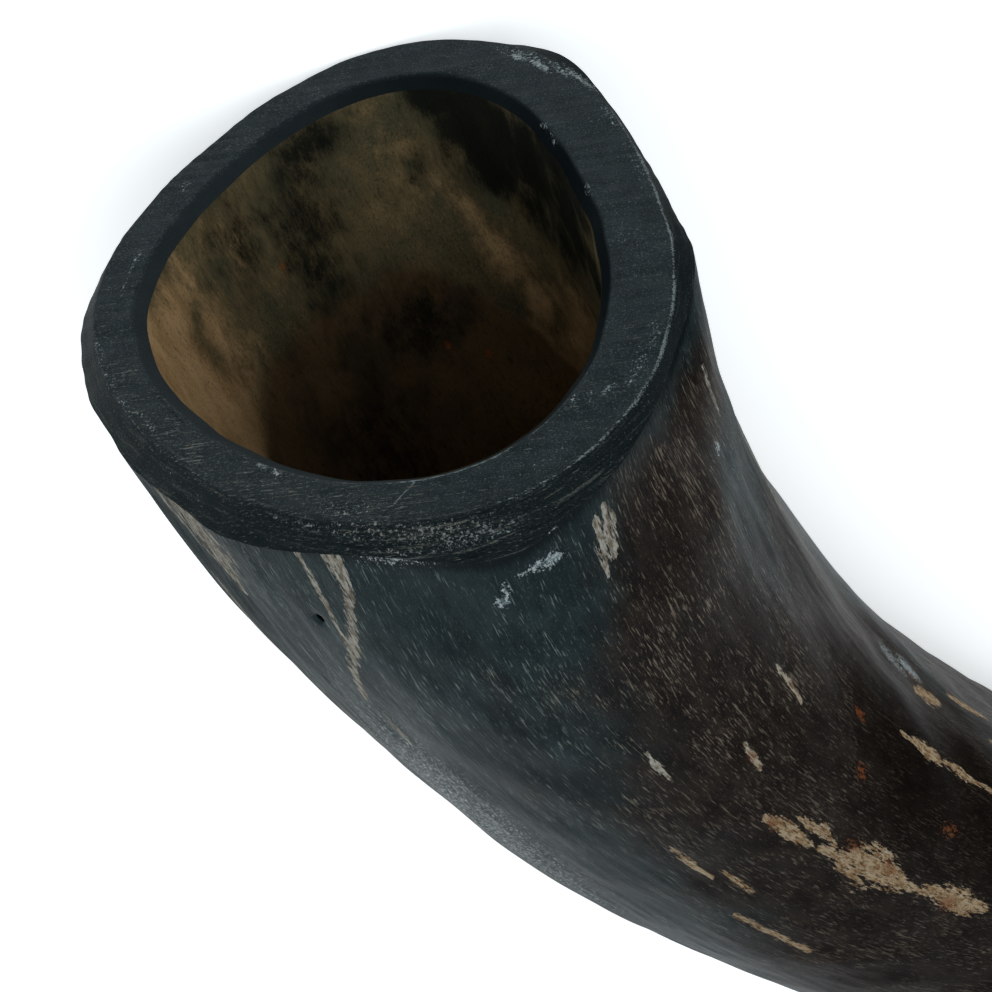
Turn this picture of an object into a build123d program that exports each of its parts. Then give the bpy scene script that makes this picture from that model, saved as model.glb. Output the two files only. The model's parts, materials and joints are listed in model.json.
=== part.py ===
"""A shofar: one black natural horn, sawn and chamfered at the bell, lined with its own tan
inner layer, and drilled through its solid tip, where the mouthpiece cup is carved."""

import os
from math import cos, pi, sin

from build123d import *

# ---- the horn's line: two bends and a tip straightened by heat (mm) ----
BELL_BEND_RADIUS = 320.0
BELL_BEND_LENGTH = 220.0
BELLY_BEND_RADIUS = 250.0
BELLY_BEND_LENGTH = 130.0
TIP_STRAIGHT_LENGTH = 90.0
HORN_LENGTH = BELL_BEND_LENGTH + BELLY_BEND_LENGTH + TIP_STRAIGHT_LENGTH

# ---- the outside ----
BELL_RADIUS = 42.0            # mean outer radius at the bell
TAPER = 1.1e-3                # share of the radius lost per mm of length
TAPER_GROWTH = 1.05e-6        # how that loss grows with the length
OVAL = 0.098                  # taller across the bend's plane than along it
THREE_SIDED = 0.049           # flattened towards the inside of the bend
THREE_SIDED_LEAN = 0.013
CORNER_LEAN = 0.012
CORNER_SHARPNESS = 0.006
ROUNDING_LENGTH = 150.0       # the three-sided shape fades to round over this length
TIP_NARROWING = 0.15          # what is filed off the radius of the tip, beyond the taper

# ---- the sawn rim ----
RIM_TILT_INWARD = 1.9         # degrees that the saw cut leans towards the inside of the bend
RIM_TILT_UPWARD = 2.35        # degrees that it leans towards the upper side
SHOULDER_DEPTH = 8.0          # where the outer chamfer has run out
LIP_BEVEL = 1.5               # the bevel cut round the inner edge, wide and deep

# ---- the hollow ----
THROAT_AT = 330.0             # where the hollow ends and the solid tip begins
THROAT_SHARE = 0.2            # of the hollow's size at the bell
INNER_LAYER = 0.9             # thickness of the tan layer

# ---- the mouthpiece, cut in the solid tip ----
BORE_RADIUS = 3.5
CUP_RADIUS = 8.5
CUP_DEPTH = 9.0
CUP_WALL_LEAN = 0.12          # how much the cup narrows at its brim, sideways for each mm down
THROAT_CONE_RADIUS = 5.2
THROAT_CONE_LENGTH = 9.0
MOUTH_FLARE = 1.2
MOUTH_FLARE_LENGTH = 22.0
MOUTH_EDGE_ROUND = 1.6

# ---- how the horn lies on a flat surface: on its rim, its belly and its tip (degrees) ----
LIE_ROLL = -4.95
LIE_PITCH = 2.2

# ---- where the bell's centre lies, so that the horn's box stands centred over the origin (mm) ----
BELL_CENTRE = (-158.654, -111.745, 46.631)

OUTLINE_POINTS = 24
CUT_OVERRUN = 3.0             # how far a cut runs past the face that it goes through


def blend(share):
    """A smooth step from 0 to 1"""
    share = min(max(share, 0.0), 1.0)
    return share * share * (3 - 2 * share)


def outer_radius(angle, along):
    """The horn's outer radius: the angle is 0 towards the inside of the bend, 90 upwards"""
    size = 1 - TAPER * along - TAPER_GROWTH * along**2
    size *= 1 - TIP_NARROWING * blend((along - THROAT_AT) / (HORN_LENGTH - THROAT_AT))
    shape = -OVAL * cos(2 * angle)
    shape -= THREE_SIDED * cos(3 * angle) + THREE_SIDED_LEAN * sin(3 * angle)
    shape += CORNER_LEAN * sin(4 * angle) + CORNER_SHARPNESS * cos(5 * angle)
    angular = blend((BELL_BEND_LENGTH + BELLY_BEND_LENGTH - along) / ROUNDING_LENGTH)
    flare = MOUTH_FLARE * blend((along - HORN_LENGTH + MOUTH_FLARE_LENGTH) / MOUTH_FLARE_LENGTH)
    return BELL_RADIUS * size * (1 + angular * shape) + flare


def chamfer_width(angle):
    """The hand-filed chamfer outside the flat rim, widest on the upper side"""
    return 2.5 - 0.6 * cos(angle) + 2.2 * sin(angle) - 0.6 * cos(2 * angle) - 0.45 * cos(3 * angle)


def rim_width(angle):
    """The flat sawn rim, widest towards the inside of the bend"""
    widest = 6.4 + 1.6 * cos(angle)
    return widest - 0.2 * cos(3 * angle) - 0.3 * sin(3 * angle) - 0.3 * cos(4 * angle)


def hollow_radius(angle, along):
    """The open bore inside the tan layer"""
    mouth = outer_radius(angle, 0) - chamfer_width(angle) - rim_width(angle) - LIP_BEVEL
    return mouth * (1 - (1 - THROAT_SHARE) * along / THROAT_AT)


# ---- the planes across the horn's line ----
lie = Plane(origin=BELL_CENTRE).rotated((LIE_ROLL, LIE_PITCH, 0))

with BuildLine() as centre_line:
    bell_bend = JernArc((0, 0), (1, 0), BELL_BEND_RADIUS, BELL_BEND_LENGTH / BELL_BEND_RADIUS * 180 / pi)
    belly_bend = JernArc(
        bell_bend @ 1,
        bell_bend % 1,
        BELLY_BEND_RADIUS,
        BELLY_BEND_LENGTH / BELLY_BEND_RADIUS * 180 / pi,
    )
    Line(belly_bend @ 1, belly_bend @ 1 + (belly_bend % 1) * TIP_STRAIGHT_LENGTH)
horn_line = centre_line.wire()


def across(along):
    """The plane across the horn at a length from the bell: x inwards, y up, z to the tip"""
    centre = horn_line.position_at(along, PositionMode.LENGTH)
    heading = horn_line.tangent_at(along, PositionMode.LENGTH)
    inward = heading.rotate(Axis.Z, 90)
    flat = Plane(origin=centre, x_dir=inward, z_dir=heading)
    return Plane(lie.location * flat.location)


def outline(plane, radius):
    """A smooth closed outline on the plane, from its radius at each angle"""
    angles = [2 * pi * i / OUTLINE_POINTS for i in range(OUTLINE_POINTS)]
    with BuildSketch(plane) as section:
        with BuildLine():
            Spline(*[(radius(a) * cos(a), radius(a) * sin(a)) for a in angles], periodic=True)
        make_face()
    return section.sketch.face()


rim_plane = Plane(across(0).location * Location((0, 0, 0), (RIM_TILT_UPWARD, -RIM_TILT_INWARD, 0)))
lip_plane = rim_plane.offset(LIP_BEVEL)
sheath_stations = [SHOULDER_DEPTH, 40, 80, 130, 180, 230, 280, THROAT_AT]
hollow_stations = [30, 80, 130, 180, 230, 280, THROAT_AT]
tip_stations = [THROAT_AT, 350, 380, 405, 425, HORN_LENGTH]


def hollow_outlines(allowance):
    """Outlines of the hollow from the lip to the throat, larger by the allowance"""
    lip = outline(lip_plane, lambda a: hollow_radius(a, LIP_BEVEL) + allowance)
    rest = [outline(across(s), lambda a: hollow_radius(a, s) + allowance) for s in hollow_stations]
    return [lip] + rest


# ---- the black sheath ----
with BuildPart() as horn_sheath:
    shoulder = outline(across(SHOULDER_DEPTH), lambda a: outer_radius(a, SHOULDER_DEPTH))
    rim = outline(rim_plane, lambda a: outer_radius(a, 0) - chamfer_width(a))
    loft(sections=[rim, shoulder], ruled=True)
    loft(sections=[outline(across(s), lambda a: outer_radius(a, s)) for s in sheath_stations])
    loft(sections=hollow_outlines(INNER_LAYER), mode=Mode.SUBTRACT)
    bevel_outside = outline(rim_plane, lambda a: hollow_radius(a, 0) + LIP_BEVEL)
    bevel_inside = outline(lip_plane, lambda a: hollow_radius(a, LIP_BEVEL))
    loft(sections=[bevel_outside, bevel_inside], ruled=True, mode=Mode.SUBTRACT)

# ---- the tan layer that lines it ----
with BuildPart() as inner_layer:
    loft(sections=hollow_outlines(INNER_LAYER))
    loft(sections=hollow_outlines(0), mode=Mode.SUBTRACT)

# ---- the solid tip, with the bore and the cup turned in it about the tip's straight line ----
mouth_plane = across(HORN_LENGTH)
bore_axis = Axis(mouth_plane.origin, mouth_plane.z_dir)
bore_start = THROAT_AT - HORN_LENGTH - CUT_OVERRUN

with BuildPart() as solid_tip:
    loft(sections=[outline(across(s), lambda a: outer_radius(a, s)) for s in tip_stations])
    fillet(solid_tip.edges().sort_by(bore_axis)[-1], MOUTH_EDGE_ROUND)
    with BuildSketch(Plane(mouth_plane.origin, mouth_plane.z_dir, mouth_plane.x_dir)):
        with BuildLine():
            Polyline(
                (-CUP_DEPTH, BORE_RADIUS),
                (bore_start + THROAT_CONE_LENGTH, BORE_RADIUS),
                (bore_start, THROAT_CONE_RADIUS),
                (bore_start, 0),
                (CUT_OVERRUN, 0),
                (CUT_OVERRUN, CUP_RADIUS),
                (0, CUP_RADIUS),
            )
            TangentArc((0, CUP_RADIUS), (-CUP_DEPTH, BORE_RADIUS), tangent=(-1, -CUP_WALL_LEAN))
        make_face()
    revolve(axis=bore_axis, mode=Mode.SUBTRACT)

horn_sheath.part.label = "horn_sheath"
inner_layer.part.label = "inner_layer"
solid_tip.part.label = "solid_tip"

os.makedirs("parts", exist_ok=True)
export_step(horn_sheath.part, "parts/horn_sheath.step")
export_step(inner_layer.part, "parts/inner_layer.step")
export_step(solid_tip.part, "parts/solid_tip.step")
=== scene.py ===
"""The look of a shofar: a black natural horn lying on a pale floor, seen from in front of its
sawn bell. The surfaces are worked out in millimetres in the horn's own frame: x goes into the
horn at the bell, y to the inside of its bend and z up."""

import json

import bpy
import numpy as np
from mathutils import Matrix, Vector


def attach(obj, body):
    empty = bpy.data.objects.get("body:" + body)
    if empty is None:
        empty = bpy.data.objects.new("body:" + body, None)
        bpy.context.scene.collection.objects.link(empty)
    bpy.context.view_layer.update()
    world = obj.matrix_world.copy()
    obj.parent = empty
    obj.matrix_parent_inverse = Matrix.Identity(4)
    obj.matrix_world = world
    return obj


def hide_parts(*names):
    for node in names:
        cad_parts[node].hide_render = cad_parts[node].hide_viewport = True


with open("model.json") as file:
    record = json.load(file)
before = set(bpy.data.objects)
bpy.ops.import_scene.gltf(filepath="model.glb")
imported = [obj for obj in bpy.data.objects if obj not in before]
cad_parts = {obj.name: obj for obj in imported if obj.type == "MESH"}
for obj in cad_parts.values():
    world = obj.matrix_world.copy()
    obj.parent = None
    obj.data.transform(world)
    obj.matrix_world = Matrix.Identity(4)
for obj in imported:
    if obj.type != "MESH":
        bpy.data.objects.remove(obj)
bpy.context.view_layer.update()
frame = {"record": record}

# ---- the horn's line, as in part.py (mm) ----
BELL_BEND_RADIUS = 320.0
BELL_BEND_LENGTH = 220.0
BELLY_BEND_RADIUS = 250.0
BELLY_BEND_LENGTH = 130.0
TIP_STRAIGHT_LENGTH = 90.0
HORN_LENGTH = BELL_BEND_LENGTH + BELLY_BEND_LENGTH + TIP_STRAIGHT_LENGTH

# ---- its sections, as in part.py ----
BELL_RADIUS = 42.0
TAPER = 1.1e-3
TAPER_GROWTH = 1.05e-6
OVAL = 0.098
THREE_SIDED = 0.049
THREE_SIDED_LEAN = 0.013
CORNER_LEAN = 0.012
CORNER_SHARPNESS = 0.006
ROUNDING_LENGTH = 150.0
TIP_NARROWING = 0.15
RIM_TILT_INWARD = np.radians(1.9)
RIM_TILT_UPWARD = np.radians(2.35)
LIP_BEVEL = 1.5
THROAT_AT = 330.0
THROAT_SHARE = 0.2
INNER_LAYER = 0.9
BORE_RADIUS = 3.5
CUP_RADIUS = 8.5
CUP_DEPTH = 9.0
THROAT_CONE_RADIUS = 5.2
THROAT_CONE_LENGTH = 9.0
MOUTH_FLARE = 1.2
MOUTH_FLARE_LENGTH = 22.0
MOUTH_EDGE_ROUND = 1.6
LIE_ROLL = np.radians(-4.95)
LIE_PITCH = np.radians(2.2)

# ---- the filed chamfer, (degrees round the rim, mm): 0 is the inside of the bend, 90 the top ----
CHAMFER_WIDTH = (
    (0, 1), (6, 1.35), (13, 1.8), (20, 2.4), (26, 2.3), (31, 1.8), (38, 1.2), (46, 0.9), (52, 1),
    (57, 1.6), (61, 2.3), (71, 2.9), (78, 3.6), (88, 4.6), (96, 3.4), (105, 2.4), (118, 3.2), (135, 3.9),
    (155, 3.4), (167, 3.4), (180, 3.15), (200, 2.4), (212, 1.2), (240, 0.9), (270, 0.8), (303, 0.9),
    (312, 1.8), (317.5, 2.6), (320.5, 3), (324, 2), (328, 1.2), (334, 0.9), (345, 0.8),
)
CHAMFER_DEPTH = (
    (0, 2), (30, 2), (46, 1.6), (56, 1.6), (64, 2), (72, 2.3), (80, 3.2), (88, 4.4), (96, 3.6),
    (105, 2.9), (135, 2.8), (165, 2.7), (190, 2.3), (205, 1.5), (220, 1.1), (270, 1), (322, 1),
    (332, 1.4), (345, 2),
)

# ---- how far behind the rim its filing is felt (mm) ----
LIP_WEAR_FADE = 14.0           # the lip's uneven filing is gone this far into the hollow
FILED_BACK_LENGTH = 27.0       # the skin reaches the horn's full size this far behind the chamfer
NICKS_FADE = 2.5               # the small nicks of the chamfer's edge are gone here
RELIEF_FADE = 6.0              # the skin's relief is whole here
LIP_RELIEF_FADE = 3.0          # the tan layer's relief is whole here

# ---- how high the relief stands (mm) ----
BROAD_HEIGHT = 0.22
DENT_HEIGHT = 0.08
GRAIN_HEIGHT = 0.025
FILED_OFF_TIP = 0.6            # share of the relief that is worked away at the tip
EDGE_WEAR_HEIGHT = 0.07
EDGE_NICK_HEIGHT = 0.018
CREASE_NICK_LENGTH = 0.025
CREASE_NICK_HEIGHT = 0.012
CREASE_SETBACK = 0.02
CHAMFER_WIDTH_WEAR = 0.04      # shares of the chamfer's width and depth
CHAMFER_DEPTH_WEAR = 0.05
LIP_WEAR_HEIGHT = 0.07
SAW_MARK_HEIGHT = 0.025
SAWN_WEAR_HEIGHT = 0.05
STRAND_HEIGHT = 0.10
SAW_MARK_DRAWN_OUT = 0.05      # the saw's marks change this much slower along its scratches
HOLLOW_DENT_HEIGHT = 0.16
HOLLOW_GRAIN_HEIGHT = 0.05
HOLLOW_ELSEWHERE = 40          # mm, so that the hollow's dents are not the skin's
HOLLOW_GRAIN_SLOWER = 0.7      # the hollow's grain is this much coarser than the skin's
SAWN_WEAR_FASTER = 2           # it is worn in smaller places than the rim's edge

# ---- a small hole in the skin ----
PIT_AT = (16.3, 123.6)         # mm along, degrees round
PIT_DEPTH = 0.9
PIT_LENGTH = 0.75
PIT_WIDTH = 0.5

# ---- the grain turns slowly about the horn ----
GRAIN_TWIST = np.radians(26.0)
GRAIN_TWIST_LENGTH = 300.0


def smooth(share):
    """A smooth step from 0 to 1"""
    share = np.clip(share, 0, 1)
    return share * share * (3 - 2 * share)


def around(angle, stops):
    """A soft closed curve through values given at degrees round the horn"""
    degrees = np.arange(360)
    line = np.interp(degrees, *zip(*stops), period=360)
    soft = sum(np.roll(line, turn) for turn in range(-4, 5)) / 9
    return np.interp(np.degrees(angle), degrees, soft, period=360)


def waves(seed, across, along, count=28):
    """A rolling relief of about unit height, with those wavelengths across and along the grain"""
    random = np.random.default_rng(seed)
    heading = random.uniform(0, 2 * np.pi, count)
    stretch = 2 ** random.uniform(-0.6, 0.6, count)
    lengthwise = random.uniform(-1, 1, count) * 2 * np.pi / along
    crosswise = stretch * 2 * np.pi / across
    pitch = np.stack([crosswise * np.cos(heading), crosswise * np.sin(heading), lengthwise])
    phase = random.uniform(0, 2 * np.pi, count)
    return lambda place: np.cos(place @ pitch + phase).sum(-1) * np.sqrt(2 / count)


def size_at(along):
    """The horn's mean radius"""
    size = 1 - TAPER * along - TAPER_GROWTH * along**2
    size = size * (1 - TIP_NARROWING * smooth((along - THROAT_AT) / (HORN_LENGTH - THROAT_AT)))
    return BELL_RADIUS * size


def outer_radius(angle, along):
    """The horn's outer radius, as in part.py"""
    shape = -OVAL * np.cos(2 * angle)
    shape = shape - THREE_SIDED * np.cos(3 * angle) - THREE_SIDED_LEAN * np.sin(3 * angle)
    shape = shape + CORNER_LEAN * np.sin(4 * angle) + CORNER_SHARPNESS * np.cos(5 * angle)
    angular = smooth((BELL_BEND_LENGTH + BELLY_BEND_LENGTH - along) / ROUNDING_LENGTH)
    flare = MOUTH_FLARE * smooth((along - HORN_LENGTH + MOUTH_FLARE_LENGTH) / MOUTH_FLARE_LENGTH)
    return size_at(along) * (1 + angular * shape) + flare


def sawn_radius(angle):
    """The outer edge of the sawn rim, without its wear"""
    width = 2.5 - 0.6 * np.cos(angle) + 2.2 * np.sin(angle)
    width = width - 0.6 * np.cos(2 * angle) - 0.45 * np.cos(3 * angle)
    return outer_radius(angle, 0) - width


def rim_width(angle):
    """The sawn rim's width, as in part.py"""
    widest = 6.4 + 1.6 * np.cos(angle)
    return widest - 0.2 * np.cos(3 * angle) - 0.3 * np.sin(3 * angle) - 0.3 * np.cos(4 * angle)


def hollow_radius(angle, along):
    """The open bore inside the tan layer"""
    mouth = sawn_radius(angle) - rim_width(angle) - LIP_BEVEL
    wear = LIP_WEAR_HEIGHT * lip_wear(on_rim(angle)) * (1 - smooth(along / LIP_WEAR_FADE))
    return mouth * (1 - (1 - THROAT_SHARE) * along / THROAT_AT) + wear


def horn_point(along, angle, radius):
    """Points in the horn's frame, from their length along it, angle round it and radius"""
    bell = np.minimum(along, BELL_BEND_LENGTH)
    belly = np.clip(along - BELL_BEND_LENGTH, 0, BELLY_BEND_LENGTH)
    tip = np.maximum(along - BELL_BEND_LENGTH - BELLY_BEND_LENGTH, 0)
    start = bell / BELL_BEND_RADIUS
    turn = start + belly / BELLY_BEND_RADIUS
    x = BELL_BEND_RADIUS * np.sin(start) + BELLY_BEND_RADIUS * (np.sin(turn) - np.sin(start))
    y = BELL_BEND_RADIUS * (1 - np.cos(start)) + BELLY_BEND_RADIUS * (np.cos(start) - np.cos(turn))
    inward = radius * np.cos(angle)
    return np.stack([
        x + tip * np.cos(turn) - inward * np.sin(turn),
        y + tip * np.sin(turn) + inward * np.cos(turn),
        radius * np.sin(angle) + 0 * along,
    ], -1)


def saw_cut_lean(angle, radius):
    """How far the tilted saw cut leans into the horn at a place"""
    return radius * (np.cos(angle) * np.tan(RIM_TILT_INWARD) + np.sin(angle) * np.tan(RIM_TILT_UPWARD))


def behind_saw_cut(angle, radius, depth):
    """The length along the horn of a point at that depth behind the tilted saw cut"""
    return (depth + saw_cut_lean(angle, radius)) / (1 - radius * np.cos(angle) / BELL_BEND_RADIUS)


def unrolled(along, angle):
    """Where the grain is seen: across it in x and y, along it in z"""
    turned = angle + GRAIN_TWIST * smooth(along / GRAIN_TWIST_LENGTH)
    size = size_at(along)
    return np.stack([size * np.cos(turned), size * np.sin(turned), along + 0 * angle], -1)


# ---- the relief: a seed, and wavelengths across and along the grain (mm) ----
broad = waves(11, 34, 70)
dents = waves(12, 11, 16)
grain = waves(13, 2.6, 24)
edge_wear = waves(14, 15, 15)
edge_nicks = waves(15, 3.2, 3.2)
strands = waves(16, 18, 0.9)
saw_marks = waves(17, 1.9, 1.9)
lip_wear = waves(18, 13, 13)


def on_rim(angle, height=0.0):
    """A place on a circle about the rim, where a relief is read: another height reads another wear"""
    angle = angle + 0 * height
    return np.stack([BELL_RADIUS * np.cos(angle), BELL_RADIUS * np.sin(angle), height + 0 * angle], -1)


def rim_edge(angle):
    """The outer edge of the flat rim, with its wear"""
    wear = EDGE_WEAR_HEIGHT * edge_wear(on_rim(angle))
    return sawn_radius(angle) + wear + EDGE_NICK_HEIGHT * edge_nicks(on_rim(angle))


def even_crease(angle):
    """The lower edge of the chamfer before its nicks: its length along the horn and its radius"""
    width = around(angle, CHAMFER_WIDTH) * (1 + CHAMFER_WIDTH_WEAR * edge_wear(on_rim(angle, 40)))
    depth = around(angle, CHAMFER_DEPTH) * (1 + CHAMFER_DEPTH_WEAR * edge_wear(on_rim(angle, 80)))
    radius = rim_edge(angle) + width
    return behind_saw_cut(angle, radius, depth), radius


def crease(angle):
    """The lower edge of the chamfer: its length along the horn and its radius"""
    along, radius = even_crease(angle)
    along = along + CREASE_NICK_LENGTH * edge_nicks(on_rim(angle, 20))
    return along, radius - CREASE_SETBACK + CREASE_NICK_HEIGHT * edge_nicks(on_rim(angle, 9))


def skin_relief(along, angle):
    """The skin's own ups and downs, which are worked smooth towards the tip"""
    place = unrolled(along, angle)
    left = 1 - FILED_OFF_TIP * smooth((along - THROAT_AT) / (HORN_LENGTH - THROAT_AT))
    return left * (BROAD_HEIGHT * broad(place) + DENT_HEIGHT * dents(place) + GRAIN_HEIGHT * grain(place))


def pit_dent(along, angle):
    """How deep the small hole goes into the skin"""
    far, away = apart(PIT_AT[0], PIT_AT[1], along, angle)
    return PIT_DEPTH * np.exp(-(far / PIT_LENGTH) ** 2 - (away / PIT_WIDTH) ** 2)


def wall_radius(along, angle):
    """The horn's skin with its relief, filed back towards the chamfer's crease"""
    crease_along, crease_radius = crease(angle)
    even_radius = even_crease(angle)[1]
    behind = along - crease_along
    filed = (outer_radius(angle, crease_along) - even_radius) * (1 - smooth(behind / FILED_BACK_LENGTH))
    nicked = (even_radius - crease_radius) * (1 - smooth(behind / NICKS_FADE))
    relief = skin_relief(along, angle) * smooth(behind / RELIEF_FADE)
    return outer_radius(angle, along) - filed - nicked + relief - pit_dent(along, angle)


# ---- the inside ----
def lip_along(angle):
    """Where along the horn the lip's bevel ends and the tan layer begins"""
    return behind_saw_cut(angle, hollow_radius(angle, LIP_BEVEL), LIP_BEVEL)


def layer_radius(along, angle):
    """The tan layer's surface with its relief, which fades away at the lip"""
    place = unrolled(along, angle)
    relief = HOLLOW_DENT_HEIGHT * dents(place + HOLLOW_ELSEWHERE)
    relief = relief + HOLLOW_GRAIN_HEIGHT * grain(place * HOLLOW_GRAIN_SLOWER)
    return hollow_radius(angle, along) + relief * smooth((along - lip_along(angle)) / LIP_RELIEF_FADE)


# ---- meshes ----
lie = Matrix.Rotation(LIE_ROLL, 3, "X") @ Matrix.Rotation(LIE_PITCH, 3, "Y")
rim_mount = next(m for m in frame["record"]["mounts"] if m["name"] == "bell_rim")
top = np.pi / 2
mount_height = sawn_radius(top) - rim_width(top) / 2
to_mount = Vector((mount_height * np.sin(RIM_TILT_UPWARD), 0, mount_height * np.cos(RIM_TILT_UPWARD)))
bell_centre = Vector(rim_mount["pos_m"]) * 1000 - lie @ to_mount


def standing(name, data):
    """An object in the scene"""
    made = bpy.data.objects.new(name, data)
    bpy.context.scene.collection.objects.link(made)
    return made


def placed(points):
    """Points of the horn's frame, in metres in the frame that the CAD model stands in"""
    return (points @ np.array(lie).T + np.array(bell_centre)) / 1000


def facing(points):
    """Normals of a grid of points, from its neighbours along both ways"""
    down = np.gradient(points, axis=0)
    round_about = np.roll(points, -1, axis=1) - np.roll(points, 1, axis=1)
    normals = np.cross(round_about, down)
    return normals / np.linalg.norm(normals, axis=-1, keepdims=True)


def ring_mesh(name, points, shown, seen, node, slot, material):
    """A closed mesh from a grid whose rows go round the horn and whose last row meets its first.
    The first rows are the shown surface, with the normals given, and seen are its attributes."""
    rows, columns = points.shape[:2]
    index = np.arange(rows * columns).reshape(rows, columns)
    below, beside = np.roll(index, -1, 0), np.roll(index, -1, 1)
    quads = np.stack([index, beside, np.roll(below, -1, 1), below], -1).reshape(-1, 4)
    flat = placed(points).reshape(-1, 3)
    a, b, c = (flat[quads[:, k]] for k in (0, 1, 2))
    if np.einsum("ij,ij->", a, np.cross(b, c)) < 0:
        quads = quads[:, ::-1]
    mesh = bpy.data.meshes.new(name)
    mesh.from_pydata(flat.tolist(), [], quads.tolist())
    mesh.polygons.foreach_set("use_smooth", [True] * len(quads))
    mesh.update()
    normals = np.zeros((rows * columns, 3))
    mesh.vertices.foreach_get("normal", normals.ravel())
    ours = (shown @ np.array(lie).T).reshape(-1, 3)
    normals[: len(ours)] = ours * np.sign(np.einsum("ij,ij->", ours, normals[: len(ours)]))
    mesh.normals_split_custom_set_from_vertices(normals.tolist())
    for label, values in seen.items():
        values = np.asarray(values, np.float32)
        kind = "FLOAT_VECTOR" if values.ndim == 3 else "FLOAT"
        full = np.zeros((rows * columns,) + values.shape[2:], np.float32)
        full[: values.shape[0] * columns] = values.reshape((-1,) + values.shape[2:])
        attribute = mesh.attributes.new(label, kind, "POINT")
        attribute.data.foreach_set("vector" if values.ndim == 3 else "value", full.ravel())
    mesh.materials.append(material)
    piece = standing(name, mesh)
    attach(piece, "root")
    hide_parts(node)


# ---- materials ----
USUAL_GLOSS = 0.08             # specular level of the sawn rim and the hollow
SKIN_GLOSS = 0.17
FLOOR_GLOSS = 0.2
GLOSS_TINT = (0.62, 0.9, 1.0, 1.0)
PIT_PLACE = tuple(unrolled(np.array(PIT_AT[0]), np.radians(PIT_AT[1])).tolist())
SAW_STROKE = np.radians(18)    # the saw's scratches rise by this towards the inside of the bend


def saw_place(angle, radius, depth=0.0):
    """A place on the sawn face: across the scratches in x, into the horn in y, along them in z"""
    turned = angle - SAW_STROKE
    return np.stack([radius * np.sin(turned), depth + 0 * radius * angle, radius * np.cos(turned)], -1)


def on_saw_cut(degrees, share):
    """A place on the flat rim, at a share of its width outwards from the lip's bevel"""
    angle = np.radians(degrees)
    return tuple(saw_place(angle, sawn_radius(angle) - rim_width(angle) * (1 - share)).tolist())


RIM_LINES = (                  # from and to (degrees, share of the width), half width, strength, colour
    ((98, 0.04), (102, 0.51), 0.13, 0.5, (140, 148, 146)),
    ((171, 0.11), (156, 0.14), 0.16, 0.9, (8, 10, 11)),
    ((120, 0.02), (133, 0.03), 0.14, 0.6, (140, 148, 148)),
)


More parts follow.
